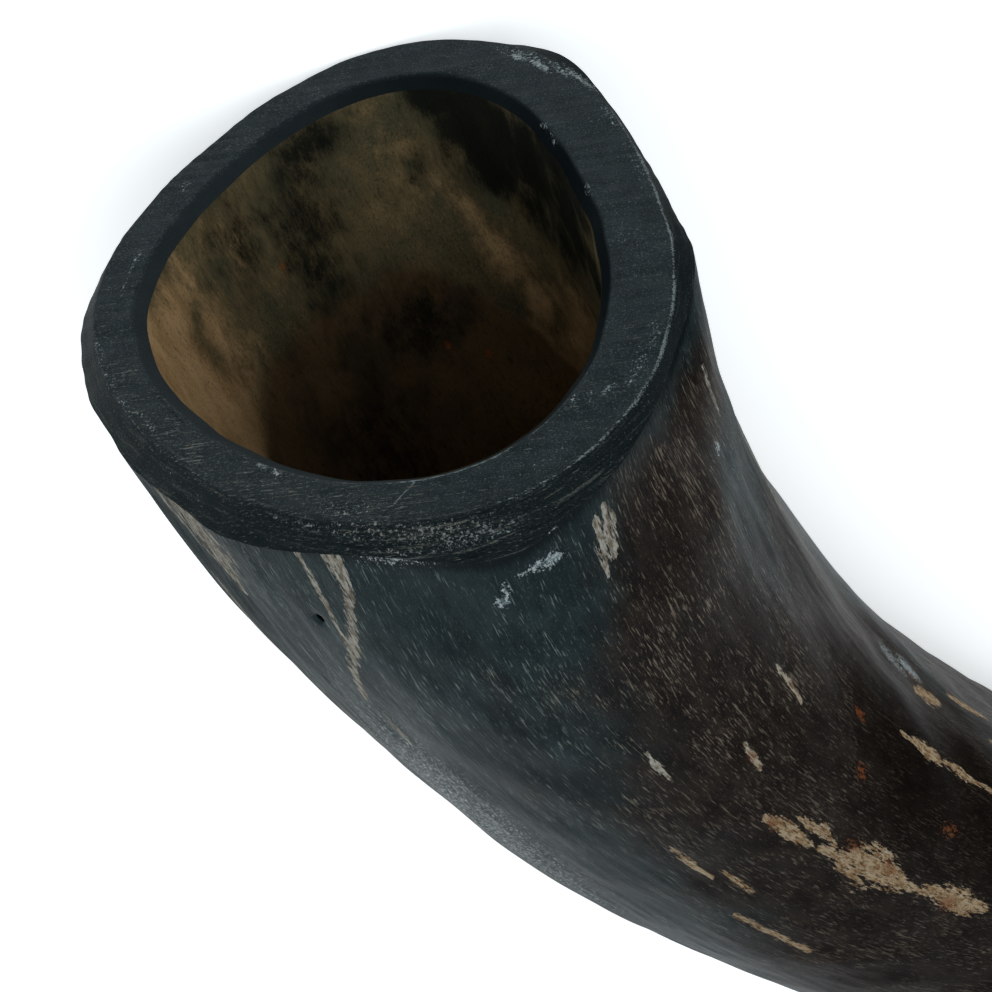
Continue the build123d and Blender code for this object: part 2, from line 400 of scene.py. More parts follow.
class Look:
    """A material's nodes, added one after another"""

    def __init__(self, name):
        self.material = bpy.data.materials.new(name)
        self.material.use_nodes = True
        self.tree = self.material.node_tree
        self.shader = self.tree.nodes["Principled BSDF"]
        self.base = None

    def add(self, kind, inputs, output=0, **settings):
        """A node with its settings, its sockets set or linked; gives back one of its outputs"""
        made = self.tree.nodes.new("ShaderNode" + kind)
        for name, value in settings.items():
            setattr(made, name, value)
        for socket, value in inputs.items():
            self.set(made.inputs[socket], value)
        return made.outputs[output]

    def set(self, socket, value):
        """A socket linked to another node's output, or set to a value"""
        if isinstance(value, bpy.types.NodeSocket):
            self.tree.links.new(value, socket)
        else:
            socket.default_value = value

    def seen(self, name, vector=False):
        """An attribute of the mesh"""
        return self.add("Attribute", {}, "Vector" if vector else "Fac", attribute_name=name)

    def noise(self, place, across, along, shift, detail, roughness):
        """A noise with so many features a mm across and along the grain, its field shifted"""
        scaled = self.add("VectorMath", {0: place, 1: (across, across, along)}, operation="MULTIPLY")
        moved = self.add("VectorMath", {0: scaled, 1: (shift, shift, shift)}, operation="ADD")
        inputs = {"Vector": moved, "Scale": 1.0, "Detail": detail, "Roughness": roughness}
        return self.add("TexNoise", inputs, "Fac")

    def step(self, value, low, high, bottom=0.0, top=1.0):
        """A smooth step of a value from low to high"""
        inputs = {"Value": value, "From Min": low, "From Max": high, "To Min": bottom, "To Max": top}
        return self.add("MapRange", inputs, interpolation_type="SMOOTHSTEP")

    def sum(self, *values, operation="ADD"):
        total = values[0]
        for value in values[1:]:
            total = self.add("Math", {0: total, 1: value}, operation=operation)
        return total

    def product(self, *values):
        return self.sum(*values, operation="MULTIPLY")

    def left(self, value, share=1.0):
        """What is left of 1 when a share of the value is taken off"""
        return self.sum(1.0, self.product(value, -share))

    def mix(self, share, first, second):
        """Two colours mixed by a share of the second"""
        return self.add("Mix", {0: share, 6: first, 7: second}, 2, data_type="RGBA")

    def paint(self, share, colour, *strengths):
        """One more colour over the base, by a share times its strengths"""
        self.base = self.mix(self.product(share, *strengths), self.base, colour)

    def ragged(self, mask, *rough):
        """A soft mask torn by noises, each given with its weight, that leaves nothing outside it"""
        torn = [self.sum(self.product(noise, weight), -weight / 2) for noise, weight in rough]
        near = self.step(mask, 0.06, 0.3)
        return self.product(near, self.step(self.sum(mask, *torn), 0.5, 0.72))

    def away_from(self, place, start, end):
        """How far a place is from a straight line between two points"""
        reach = Vector(end) - Vector(start)
        offset = self.add("VectorMath", {0: place, 1: start}, operation="SUBTRACT")
        share = self.add("VectorMath", {0: offset, 1: reach / reach.length_squared}, 1,
                         operation="DOT_PRODUCT")
        share = self.add("Math", {0: share, 1: 1.0}, operation="MULTIPLY", use_clamp=True)
        on_line = self.add("VectorMath", {0: reach, "Scale": share}, operation="SCALE")
        return self.add("VectorMath", {0: offset, 1: on_line}, 1, operation="DISTANCE")

    def bump(self, height, distance, strength):
        inputs = {"Height": height, "Distance": distance, "Strength": strength}
        return self.add("Bump", inputs, "Normal")

    def finish(self, roughness, normal, gloss=USUAL_GLOSS):
        """The shader's own sockets; a gloss that varies keeps the usual one beneath its link"""
        self.shader.inputs["Specular IOR Level"].default_value = USUAL_GLOSS
        self.set(self.shader.inputs["Specular IOR Level"], gloss)
        self.shader.inputs["Specular Tint"].default_value = GLOSS_TINT
        self.set(self.shader.inputs["Base Color"], self.base)
        self.set(self.shader.inputs["Roughness"], roughness)
        self.set(self.shader.inputs["Normal"], normal)
        return self.material


def rgb(red, green, blue):
    """A colour as a screen shows it, 0 to 255, in the shader's own values"""
    shown = np.array([red, green, blue]) / 255
    linear = np.where(shown > 0.04045, ((shown + 0.055) / 1.055) ** 2.4, shown / 12.92)
    return (*linear, 1.0)


def skin_material():
    """Black horn: blue-black or brown by its warm mask, flecked along the grain, with marks on top"""
    look = Look("black_horn_skin")
    place = look.seen("grain_place", vector=True)
    mottle = look.noise(place, 0.10, 0.04, 0, 4, 0.6)
    warm = look.step(look.sum(look.seen("warm"), look.product(mottle, 1.1)), 0.6, 1.16)
    patches = look.step(look.noise(place, 0.35, 0.12, 200, 4, 0.65), 0.35, 0.7)
    # the blue-black is partly the horn's own tone and partly a painted bluish sheen of the cool light
    cool_colour = look.mix(patches, rgb(29, 39, 41), rgb(43, 55, 57))
    look.base = look.mix(warm, cool_colour, look.mix(patches, rgb(27, 22, 20), rgb(43, 37, 33)))
    fibre = look.noise(place, 2.4, 0.13, 40, 5, 0.75)
    ridge_colour = look.mix(warm, rgb(56, 68, 70), rgb(66, 58, 52))
    look.paint(look.step(fibre, 0.5, 0.8, 0, 0.5), ridge_colour)
    furrow_colour = look.mix(warm, rgb(14, 19, 22), rgb(18, 14, 12))
    look.paint(look.step(fibre, 0.46, 0.3, 0, 0.6), furrow_colour)
    crowd = look.noise(place, 0.16, 0.07, 20, 4, 0.65)
    limit = look.step(crowd, 0.32, 0.68, 0.66, 0.575)
    limit = look.sum(limit, 0.012, look.product(warm, -0.018))
    golden = look.seen("golden")
    faded = look.left(golden, 0.4)
    grainy = look.noise(place, 6.5, 2.5, 150, 2, 0.7)
    below = look.product(limit, -1.0)
    hair = look.step(look.sum(look.noise(place, 4.4, 0.17, 80, 2, 0.6), below), -0.02, 0.12)
    dash = look.step(look.sum(look.noise(place, 5.4, 0.42, 10, 2, 0.6), below), -0.02, 0.13)
    blotch = look.step(look.sum(look.noise(place, 1.5, 0.26, 120, 3, 0.65), below), 0.045, 0.15)
    blotch = look.product(blotch, look.step(grainy, 0.36, 0.62))
    streak_colour = look.mix(warm, rgb(122, 138, 132), rgb(134, 121, 105))
    look.paint(dash, streak_colour, 0.6, faded)
    look.paint(hair, streak_colour, 0.72, faded)
    look.paint(blotch, streak_colour, 0.7, faded)
    specks = look.step(grainy, 0.6, 0.78, 0, 0.4)
    look.paint(specks, streak_colour, faded)
    dark = look.step(look.sum(look.seen("dark"), look.product(mottle, 0.6), -0.3), 0.1, 0.9, 0, 0.68)
    look.paint(dark, rgb(15, 11, 9))
    # painted shade: the skin just below the chamfer's crease is painted darker
    edge_shade = look.seen("edge_shade")
    shade = look.step(look.sum(edge_shade, look.product(fibre, 1.2), -0.6), 0.15, 0.6, 0, 0.85)
    shade = look.product(shade, look.step(edge_shade, 0.03, 0.2))
    look.paint(shade, rgb(16, 21, 23))
    torn = look.noise(place, 1.2, 0.2, 7, 4, 0.7)
    splinter = look.noise(place, 3.6, 0.5, 47, 3, 0.7)
    cream = look.ragged(look.seen("cream"), (torn, 3.0), (splinter, 2.4))
    flaky = look.noise(place, 1.6, 0.5, 60, 4, 0.7)
    dull_cream = look.mix(golden, rgb(112, 102, 88), rgb(140, 106, 70))
    pale_cream = look.mix(golden, rgb(172, 168, 156), rgb(188, 166, 134))
    cream_colour = look.mix(look.step(flaky, 0.38, 0.6), dull_cream, pale_cream)
    cream_colour = look.mix(look.step(splinter, 0.56, 0.72, 0, 0.8), cream_colour, rgb(200, 197, 186))
    cream_colour = look.mix(look.step(splinter, 0.47, 0.33), cream_colour, rgb(66, 52, 42))
    look.paint(look.product(cream, look.sum(0.94, look.product(golden, -0.14))), cream_colour)
    powder = look.noise(place, 2.6, 1.9, 90, 4, 0.75)
    dust = look.ragged(look.seen("dust"), (powder, 3.2), (grainy, 1.6))
    dust_colour = look.mix(look.step(powder, 0.45, 0.62), rgb(112, 128, 132), rgb(196, 204, 204))
    look.paint(dust, dust_colour, 0.8)
    rust = look.ragged(look.seen("rust"), (flaky, 2.4), (grainy, 1.4))
    look.paint(rust, rgb(118, 68, 38), 0.75)
    # painted shade: the small hole is painted near black inside and loses its gloss
    to_pit = look.add("VectorMath", {0: place, 1: PIT_PLACE}, operation="SUBTRACT")
    to_pit = look.add("VectorMath", {0: to_pit, 1: (1.0, 1.0, 0.62)}, operation="MULTIPLY")
    to_pit = look.add("VectorMath", {0: to_pit}, 1, operation="LENGTH")
    pit_shade = look.step(to_pit, 0.55, 0.4)
    look.paint(pit_shade, rgb(3, 4, 5))
    rough = look.sum(look.step(fibre, 0.3, 0.8, 0.36, 0.52), look.product(cream, 0.3))
    height = look.sum(look.product(fibre, 0.7), look.product(hair, 0.25), look.product(cream, 0.5),
                      look.product(splinter, look.product(cream, 1.4)))
    shine = look.left(look.seen("dull"))
    gloss = look.product(shine, shine, shine, look.step(pit_shade, 0.0, 1.0, SKIN_GLOSS, 0.0))
    return look.finish(rough, look.bump(height, 0.00022, 0.7), gloss)


def rim_material():
    """Sawn and filed horn: grit and saw scratches on the flat, torn fibres on the chamfer"""
    look = Look("sawn_horn")
    place = look.seen("saw_place", vector=True)
    strand_place = look.seen("strand_place", vector=True)
    filed, bevel, scored = look.seen("filed"), look.seen("bevel"), look.seen("scored")
    fibrous, shaded = look.seen("fibrous"), look.seen("shaded")
    rough_face = look.left(bevel, 0.85)
    mottle = look.noise(place, 0.25, 0.25, 0, 5, 0.7)
    look.base = look.mix(look.step(mottle, 0.3, 0.7), rgb(22, 29, 31), rgb(37, 45, 47))
    grit = look.noise(place, 4.2, 4.2, 90, 3, 0.75)
    look.paint(look.step(grit, 0.5, 0.3, 0, 0.7), rgb(14, 19, 21))
    look.paint(look.product(look.step(grit, 0.545, 0.73, 0, 0.82), rough_face), rgb(96, 106, 107))
    # the chamfer is painted darker: partly its filed colour, partly painted shade as it is tilted away from
    # the light
    filed_share = look.sum(0.88, look.product(fibrous, -0.3))
    look.paint(filed, rgb(18, 25, 26), filed_share)
    look.paint(bevel, rgb(31, 36, 38), 0.7)
    # painted shade on the bevel where the rim is shaded
    look.paint(bevel, rgb(13, 18, 21), shaded)
    score = look.noise(place, 4.2, 0.26, 30, 3, 0.7)
    broken = look.noise(place, 6.0, 1.8, 130, 3, 0.75)
    lines = look.sum(score, look.product(broken, 0.8), look.product(scored, 0.09),
                     look.product(shaded, -0.06))
    lines = look.product(look.step(lines, 1.03, 1.2), rough_face)
    line_colour = look.mix(look.step(mottle, 0.42, 0.6), rgb(136, 142, 138), rgb(144, 134, 116))
    look.paint(lines, line_colour, 0.55)
    strand = look.noise(strand_place, 0.13, 3.4, 3, 4, 0.75)
    pale = look.step(look.sum(strand, look.product(broken, 0.5)), 0.79, 0.95)
    pale = look.product(pale, fibrous)
    look.paint(pale, rgb(112, 114, 106), 0.6)
    gap = look.product(look.step(strand, 0.46, 0.34), fibrous)
    look.paint(gap, rgb(9, 12, 13), 0.8)
    powder = look.noise(place, 2.4, 1.9, 70, 4, 0.75)
    dust = look.ragged(look.seen("dust"), (powder, 3.0), (grit, 1.4))
    dust_colour = look.mix(look.step(broken, 0.42, 0.6), rgb(104, 118, 121), rgb(188, 196, 195))
    look.paint(dust, dust_colour, 0.66)
    tan = look.ragged(look.seen("tan"), (dust, 1.0), (grit, 2.6))
    look.paint(tan, rgb(130, 114, 92), 0.4)
    # a pale line along the flat's edges: partly wear, partly a painted highlight where the rounded edge
    # catches the light
    edge_line = look.ragged(look.seen("edge_highlight_and_wear"), (broken, 2.2))
    look.paint(edge_line, rgb(142, 152, 152), 0.6)
    for start, end, half_width, share, colour in RIM_LINES:
        gap = look.away_from(place, on_saw_cut(*start), on_saw_cut(*end))
        gap = look.sum(gap, look.product(broken, half_width * 5), half_width * -2.4)
        line = look.step(gap, half_width, half_width * 0.4, 0, share)
        look.paint(line, rgb(*colour))
    rough = look.step(score, 0.3, 0.8, 0.46, 0.62)
    height = look.sum(look.product(score, 0.6), look.product(grit, 0.7), look.product(lines, 0.3),
                      look.product(strand, look.product(fibrous, 3.0)))
    # painted shade also takes the gloss off the bevel and chamfer
    worked = look.sum(bevel, look.product(filed, 0.6))
    shine = look.left(look.product(worked, shaded))
    gloss = look.product(shine, shine, shine, USUAL_GLOSS)
    return look.finish(rough, look.bump(height, 0.0002, 0.8), gloss)


def hollow_material():
    """The tan layer: clouded tan and olive, painted shade of darker brown deeper in, and fibres, grit, soot
    and rust
    """
    look = Look("tan_horn_hollow")
    place = look.seen("grain_place", vector=True)
    clouds = look.noise(place, 0.12, 0.08, 13, 5, 0.65)
    drift = look.sum(look.product(clouds, 1.5), -0.75)
    look.base = look.mix(look.step(clouds, 0.32, 0.68), rgb(78, 73, 53), rgb(112, 96, 66))
    olive = look.noise(place, 0.10, 0.10, 71, 4, 0.6)
    look.paint(look.step(olive, 0.45, 0.7, 0, 0.6), rgb(74, 76, 58))
    tan = look.step(look.sum(look.seen("tan"), drift), 0.15, 0.85)
    look.paint(tan, look.mix(look.step(clouds, 0.35, 0.66), rgb(164, 130, 88), rgb(196, 160, 115)))
    # painted shade: the hollow is painted a darker brown deeper in, from DEEP_START
    deep = look.step(look.sum(look.seen("deep"), look.product(drift, 0.8)), 0.25, 0.8)
    brown = look.mix(look.step(olive, 0.4, 0.64), rgb(92, 72, 48), rgb(66, 54, 38))
    brown = look.mix(look.seen("throat"), brown, rgb(160, 130, 88))
    look.paint(deep, brown)
    fibre = look.noise(place, 2.0, 0.45, 33, 5, 0.75)
    look.paint(look.step(fibre, 0.5, 0.78, 0, 0.7), rgb(46, 40, 29))
    grit = look.noise(place, 3.0, 2.0, 5, 4, 0.75)
    shallow = look.left(deep, 0.8)
    look.paint(look.product(look.step(grit, 0.54, 0.74, 0, 0.5), shallow), rgb(172, 146, 108))
    look.paint(look.step(grit, 0.48, 0.3, 0, 0.75), rgb(34, 30, 21))
    rust = look.ragged(look.seen("rust"), (grit, 2.0))
    look.paint(rust, rgb(168, 92, 46), 0.6)
    smudge = look.noise(place, 0.35, 0.22, 97, 5, 0.65)
    soot = look.sum(look.seen("soot"), look.product(smudge, 0.9), look.product(grit, 0.9),
                    look.product(fibre, 0.4))
    look.paint(look.step(soot, 1.2, 1.76), rgb(17, 19, 15), 0.95)
    rough = look.step(fibre, 0.3, 0.8, 0.7, 0.9)
    height = look.sum(fibre, look.product(grit, 0.5))
    return look.finish(rough, look.bump(height, 0.0005, 0.7))


skin_look = skin_material()
rim_look = rim_material()
hollow_look = hollow_material()


# ---- the pieces ----
def turn_of(columns):
    return np.linspace(0, 2 * np.pi, columns, endpoint=False)[None, :]


def between(start, end, count, ease=1.0):
    """Rows from one value to another, closer together at the start where ease is above 1"""
    share = (np.linspace(0, 1, count) ** ease)[:, None]
    return start + (end - start) * share


def apart(at, degrees, along, angle):
    """How far points lie from a place on the horn, along it and round it (mm)"""
    away = np.angle(np.exp(1j * (angle - np.radians(degrees)))) * size_at(at)
    return along - at, away


def spots(along, angle, places):
    """How much points lie in soft spots, each (mm along, degrees round, length, width, strength)"""
    total = np.zeros(np.broadcast(along, angle).shape)
    for at, degrees, length, width, strength in places:
        far, away = apart(at, degrees, along, angle)
        total = np.maximum(total, strength * np.exp(-(far / length) ** 2 - (away / width) ** 2))
    return total


def strokes(along, angle, chains):
    """How much points lie on soft strokes, each a chain of (mm along, degrees round, half width)"""
    total = np.zeros(np.broadcast(along, angle).shape)
    for chain in chains:
        for (at, degrees, width), (to, to_degrees, to_width) in zip(chain, chain[1:]):
            far, away = apart(at, degrees, along, angle)
            reach, aside = apart(at, degrees, to, np.radians(to_degrees))
            share = np.clip((far * reach + away * aside) / (reach**2 + aside**2), 0, 1)
            gap = (far - share * reach) ** 2 + (away - share * aside) ** 2
            total = np.maximum(total, np.exp(-gap / (width + share * (to_width - width)) ** 2))
    return total


# ---- the skin's marks: spots as above, and strokes of (mm along, degrees round, half width) ----
WARM = (                       # brown instead of blue-black
    (95, 63, 62, 25, 1), (40, 67, 24, 12, 0.95), (150, 60, 60, 30, 1), (120, 20, 70, 24, 0.7),
    (18, 58, 13, 12, 0.85), (16, 43, 9, 12, 0.8), (230, 100, 80, 40, 0.7), (330, 200, 90, 60, 0.8),
    (180, 300, 70, 60, 0.8),
)
CREAM = (
    ((1.5, 146.5, 2.6), (4, 143, 4.2), (8, 142, 3.6), (12, 142.2, 2), (17, 142.5, 0.5)),
    ((2, 152.5, 0.9), (6, 151, 1.3), (11, 149, 0.5)),
    ((2, 119.5, 0.5), (11, 120, 0.45), (21, 120.5, 0.35)),
    ((2, 114, 0.9), (6, 113.5, 1), (10, 114, 0.7), (16, 117, 0.6), (21, 119.5, 0.9), (27, 124, 0.8),
     (34, 127, 0.4)),
    ((37, 125.6, 0.3), (41, 126, 0.5), (46, 126.5, 0.3)),
    ((7.6, 71.9, 0.45), (10.5, 72.1, 0.85), (16, 73.4, 0.5)),
    ((8.6, 74, 0.45), (13, 74.5, 0.8), (18, 75.6, 0.35)),
    ((3.5, 80.2, 0.4), (4.6, 79.8, 0.6)),
    ((83.5, 76.4, 0.7), (88, 75.4, 1.2), (93, 74.7, 1.1), (98, 74.1, 0.6)),
    ((90, 71.8, 0.5), (95, 70.8, 0.9), (99, 70.3, 0.8), (103, 70.8, 0.5)),
    ((100, 73.4, 0.5), (105.5, 72.5, 1), (109.5, 71.2, 2.5), (114, 70.3, 3.3), (119, 69.6, 2.8),
     (125, 69, 1.3)),
    ((125, 69, 1.3), (130, 68.4, 0.8), (134, 67.6, 0.9)),
    ((134, 67.6, 0.9), (140, 66.3, 1.6), (145, 65.5, 1.9), (150, 64.8, 1.5), (155, 64.2, 0.6)),
    ((113, 38.8, 0.4), (118, 38, 0.6), (122, 37.3, 1.5), (127, 36.6, 1.4), (131, 36, 0.6), (135, 35.4, 0.7),
     (140, 34.7, 1.1), (146, 33.8, 0.5), (153, 33, 0.5)),
    ((129, 14, 0.9), (133, 12, 1.9), (138, 10, 1.6), (142, 8, 0.7)),
    ((151, 357, 0.9), (160, 354.5, 1.4), (168, 353, 0.6)),
    ((78, 93.6, 0.4), (85, 93.2, 0.6), (91, 92.7, 0.3)),
    ((90, 89.9, 0.4), (95, 89.6, 0.55), (99, 89.4, 0.3)),
    ((53, 84.8, 0.3), (57, 84.6, 0.5), (61, 84.5, 0.25)), ((62, 56.5, 0.3), (68, 56, 0.5), (74, 56.2, 0.3)),
    ((66, 70.4, 0.35), (69, 70.8, 0.55), (73, 71, 0.3)),
    ((104, 97, 0.5), (113, 96, 0.8), (125, 94.7, 0.6)),
    ((13.4, 36, 0.35), (17.8, 36.6, 0.55), (22, 37.4, 0.3)),
)
DUST = (                       # white powder
    (10, 82.3, 1.1, 1.5, 1.15), (9.7, 84.6, 0.8, 1.2, 0.95), (9.9, 86.6, 0.6, 0.8, 0.8),
    (5.4, 80.7, 0.55, 0.7, 1), (11.4, 89.9, 1.3, 0.5, 0.85), (13.3, 91.2, 1.1, 0.8, 1),
    (4, 103, 2, 6, 0.45), (23, 44, 1.2, 0.8, 0.75), (122, 8, 7, 3, 0.6), (131, 4, 5, 2.2, 0.9),
    (70, 130, 40, 9, 0.45), (2, 66, 2, 3, 0.6),
)
DULL = (                       # where the skin has lost its gloss
    (110, 44, 50, 20, 0.97), (150, 34, 40, 24, 0.97), (20, 58, 20, 14, 0.6), (75, 58, 40, 16, 0.72),
    (250, 20, 90, 50, 0.8), (135, 4, 60, 16, 0.78), (20, 158, 60, 22, 0.76), (60, 190, 130, 26, 0.76),
    (110, 140, 60, 14, 0.6), (128, 88, 40, 12, 0.5), (50, 26, 60, 18, 0.74), (6, 40, 18, 18, 0.95),
    (250, 120, 120, 60, 0.66), (220, 250, 200, 70, 0.7),
)
PAINTED_CREASE_SHADE = ((0, 92, 1, 24, 1), (0, 48, 1, 18, 1))   # painted shade on the skin just below the chamfer's crease
DARK = (                       # nearly black
    (126, 46, 34, 13, 1), (150, 42, 30, 16, 1), (112, 58, 16, 8, 0.7), (118, 26, 16, 9, 0.7),
    (160, 10, 40, 20, 0.5), (5, 63, 7, 5, 0.5),
)
RUST = (
    (95.4, 45, 2.2, 1.2, 0.85), (100, 55.4, 2.2, 1.4, 0.8), (86, 75.8, 2.5, 1.2, 0.7), (95, 75.5, 2, 1, 0.6),
    (108, 68.5, 3, 1.2, 0.8), (121, 68, 4, 1.5, 0.7), (143, 67, 5, 1.6, 0.7), (135, 52, 4, 2, 0.6),
    (69, 70.8, 2, 1, 0.6), (131, 7, 4, 1.5, 0.6),
)

# ---- the hollow's marks ----
HOLLOW_TAN = (
    (12, 198, 13, 11, 1.25), (23, 204, 11, 9, 1.3), (5, 210, 7, 8, 0.8), (8, 190, 20, 10, 1.2),
    (12, 216, 7, 7, 0.65), (20, 220, 6, 6, 0.45), (8, 234, 8, 9, 0.2), (18, 236, 7, 8, 0.25),
    (33, 295, 8, 6, 0.6), (42, 299, 8, 5, 0.8), (45, 312, 12, 9, 0.95), (52, 303, 9, 6, 0.95),
)
HOLLOW_BAND = (
    ((4, 278, 4), (9, 283, 4.5)),
    ((17, 287, 3.5), (22, 291, 4.5), (33, 295, 5.5), (40, 299, 6), (48, 302, 5.5), (58, 301, 4.5)),
)
DEEP_START = (                 # degrees round, mm into the hollow where its painted shade, a darker brown, begins
    (0, 42), (90, 34), (180, 38), (198, 34), (212, 27), (228, 23), (250, 24), (268, 26), (282, 35),
    (290, 42), (297, 52), (304, 62), (316, 62), (330, 52),
)
DEEP_FADE = 15.0
THROAT_LIGHTENS = 40.0         # mm into the hollow where the brown begins to be lighter
THROAT_LIGHTENING = 40.0
SOOT = (
    (2, 293, 4, 5, 1), (7, 303, 8, 8, 1.3), (9, 296, 4, 4, 0.55), (14, 302, 6, 6, 0.95),
    (10, 317, 10, 9, 0.85), (19, 312, 7, 6, 0.65), (22, 322, 9, 7, 0.62), (13, 333, 14, 9, 0.75),
    (22, 345, 18, 7, 0.65), (3, 335, 6, 12, 0.9), (4, 350, 7, 10, 0.8), (2, 264, 4, 8, 0.6),
    (6, 256, 5, 6, 0.5), (12, 256, 9, 9, 0.52), (20, 253, 9, 8, 0.48),
    (8, 250, 4, 5, 0.35), (7, 238, 9, 9, 0.42), (14, 283, 4, 4, 0.4),
    (31, 251, 8, 9, 0.3), (38, 268, 9, 10, 0.5), (50, 240, 16, 14, 0.4), (6, 60, 12, 20, 0.4),
    (14, 100, 20, 24, 0.35), (30, 150, 30, 20, 0.4), (110, 180, 50, 90, 0.4), (110, 0, 50, 90, 0.4),
)
HOLLOW_RUST = (
    (15, 245, 1.3, 1.1, 0.8), (44, 271, 1.6, 0.9, 0.9), (49, 279, 1.6, 0.9, 0.85), (16, 205, 9, 6, 0.3),
)


def scattered_chains(seed, count):
    """Seeded strokes of cream over the sides that have none: groups of uneven, tapering flecks"""
    random = np.random.default_rng(seed)
    chains = []
    for _ in range(count):
        along, degrees = random.uniform(20, 410), random.uniform(130, 375)
        for _ in range(random.integers(1, 5)):
            at = along + random.normal(0, 9)
            turn = degrees + random.normal(0, 5)
            links = random.integers(3, 6)
            widest = random.choice([0.4, 0.6, 0.9, 1.5, 2.4], p=[0.3, 0.3, 0.2, 0.12, 0.08])
            chain = []
            for link in range(links):
                share = np.sin(np.pi * (link + 0.5) / links)
                chain.append((at, turn, 0.2 + widest * share * random.uniform(0.6, 1.1)))
                at += random.uniform(2, 5) + 2 * widest
                turn += random.uniform(-1.8, 0.8)
            chains.append(tuple(chain))
    return tuple(chains)


SCATTERED = scattered_chains(21, 40)
CREAM_STRENGTH = 1.22          # keeps the noises from tearing the narrowest strokes away
GOLDEN_FROM = 50.0             # mm along where the patches begin to turn from grey-white to tan
GOLDEN_LENGTH = 40.0
CREASE_SHADE_LENGTH = 1.6      # mm behind the crease that the painted shade reaches
BAND_STRENGTH = 0.45


def skin_attributes(along, angle):
    """What the skin's material sees at each point of the sheath and the tip"""
    along = np.broadcast_to(along, np.broadcast(along, angle).shape)
    behind_crease = np.maximum(along - crease(angle)[0], 0)
    return {
        "grain_place": unrolled(along, angle),
        "warm": spots(along, angle, WARM),
        "cream": np.maximum(CREAM_STRENGTH * strokes(along, angle, CREAM),
                            strokes(along, angle, SCATTERED)),
        "dust": spots(along, angle, DUST),
        "rust": spots(along, angle, RUST),
        "dull": spots(along, angle, DULL),
        "dark": spots(along, angle, DARK),
        "golden": smooth((along - GOLDEN_FROM) / GOLDEN_LENGTH),
        "edge_shade": np.exp(-behind_crease / CREASE_SHADE_LENGTH) * spots(0, angle, PAINTED_CREASE_SHADE),
    }


def hollow_attributes(along, angle):
    """What the tan layer's material sees at each point"""
    return {
        "grain_place": unrolled(along, angle),
        "tan": np.maximum(spots(along, angle, HOLLOW_TAN),
                          BAND_STRENGTH * strokes(along, angle, HOLLOW_BAND)),
        "deep": smooth((along - around(angle, DEEP_START)) / DEEP_FADE + 0.5),
        "throat": smooth((along - THROAT_LIGHTENS) / THROAT_LIGHTENING) + 0 * angle,
        "soot": spots(along, angle, SOOT),
        "rust": spots(along, angle, HOLLOW_RUST),
    }


NEXT_ROW = 0.4                 # mm beyond a piece's ends, where rows are worked out for its normals
HIDDEN_FROM = 4.0              # mm into the horn where the hidden side of the front pieces starts
HIDDEN_ROWS = 8


def with_next_rows(along):
    """The rows with one more beyond each end"""
    return np.concatenate([along[:1] - NEXT_ROW, along, along[-1:] + NEXT_ROW])


# ---- a tube's front edge, radius, attributes, node, slot and material ----
SHEATH = (
    lambda angle: crease(angle)[0], wall_radius, skin_attributes, "horn_sheath", "black_horn", skin_look,
)
LAYER = (lip_along, layer_radius, hollow_attributes, "inner_layer", "tan_horn", hollow_look)


def tube(name, kind, starts, ends, columns, rows, ease=1.0):
    """A closed length of the sheath or the layer: its shown surface, then the side where the two
    touch. Without a start it begins at the front edge of its kind"""
    front_edge, shown_radius, attributes, *belongs = kind
    angle = turn_of(columns)
    first = front_edge(angle) if starts is None else starts + 0 * angle
    along = between(first, ends, rows, ease)
    ghost = with_next_rows(along)
    surface = horn_point(ghost, angle, shown_radius(ghost, angle))
    touching = between(ends, HIDDEN_FROM if starts is None else starts, HIDDEN_ROWS)
    hidden = horn_point(touching, angle, hollow_radius(angle, touching) + INNER_LAYER)
    points = np.concatenate([surface[1:-1], hidden])
    ring_mesh(name, points, facing(surface)[1:-1], attributes(along, angle), *belongs)


# ---- the rim's marks: (degrees round, share of the flat's width, length, width, strength) ----
RIM_DUST = (
    (189, 0.92, 5, 0.7, 0.34), (179, 0.92, 5, 0.7, 0.38), (171, 0.9, 5, 0.6, 0.4), (163, 0.75, 4, 0.7, 0.4),
    (310, 0.76, 1.6, 0.7, 1), (315, 0.80, 2.4, 0.6, 1), (311, 0.85, 5, 1.2, 0.55),
    (320, 0.95, 3.5, 0.9, 0.6), (324, 1.05, 5, 1, 0.65), (338, 0.92, 6, 0.8, 0.4),
    (355, 0.9, 10, 1.2, 0.3), (50, 0.75, 5, 1.4, 0.38), (43, 0.85, 4, 1.2, 0.34), (132, 0.05, 1, 0.4, 0.9),
    (128, 0.10, 1.1, 0.4, 0.9), (327, -0.05, 2, 0.5, 0.5), (332, -0.08, 2, 0.5, 0.5),
    (355, -0.02, 2, 0.5, 0.5), (98, 1.15, 9, 0.9, 0.42), (92, 1.3, 7, 1, 0.48), (106, 1.05, 6, 0.8, 0.4),
    (236, 0.5, 2, 1, 0.4), (213, 0.3, 3, 0.5, 0.5), (206, 0.35, 3, 0.5, 0.45), (110, 0.7, 9, 2, 0.3),
    (75, 0.6, 12, 2.5, 0.2), (20, 0.4, 14, 3, 0.2), (64, 0.12, 1.6, 0.7, 0.5), (61, 0.3, 1.4, 0.8, 0.5),
    (58, 0.5, 1.4, 0.9, 0.5), (55, 0.72, 2, 0.8, 0.42), (152, 1.3, 4, 0.4, 0.3),
    (118, 1.12, 7, 0.5, 0.38), (110, 1.2, 6, 0.4, 0.4), (101, 1.35, 5, 0.4, 0.45),
)
RIM_TAN = (
    (96, 1.05, 14, 1.6, 0.42), (120, 0.6, 12, 2, 0.36), (35, 0.45, 6, 2.5, 0.45), (104, 1.3, 10, 0.8, 0.4),
    (108, 0.35, 10, 2, 0.4), (88, 0.5, 8, 2, 0.25),
)
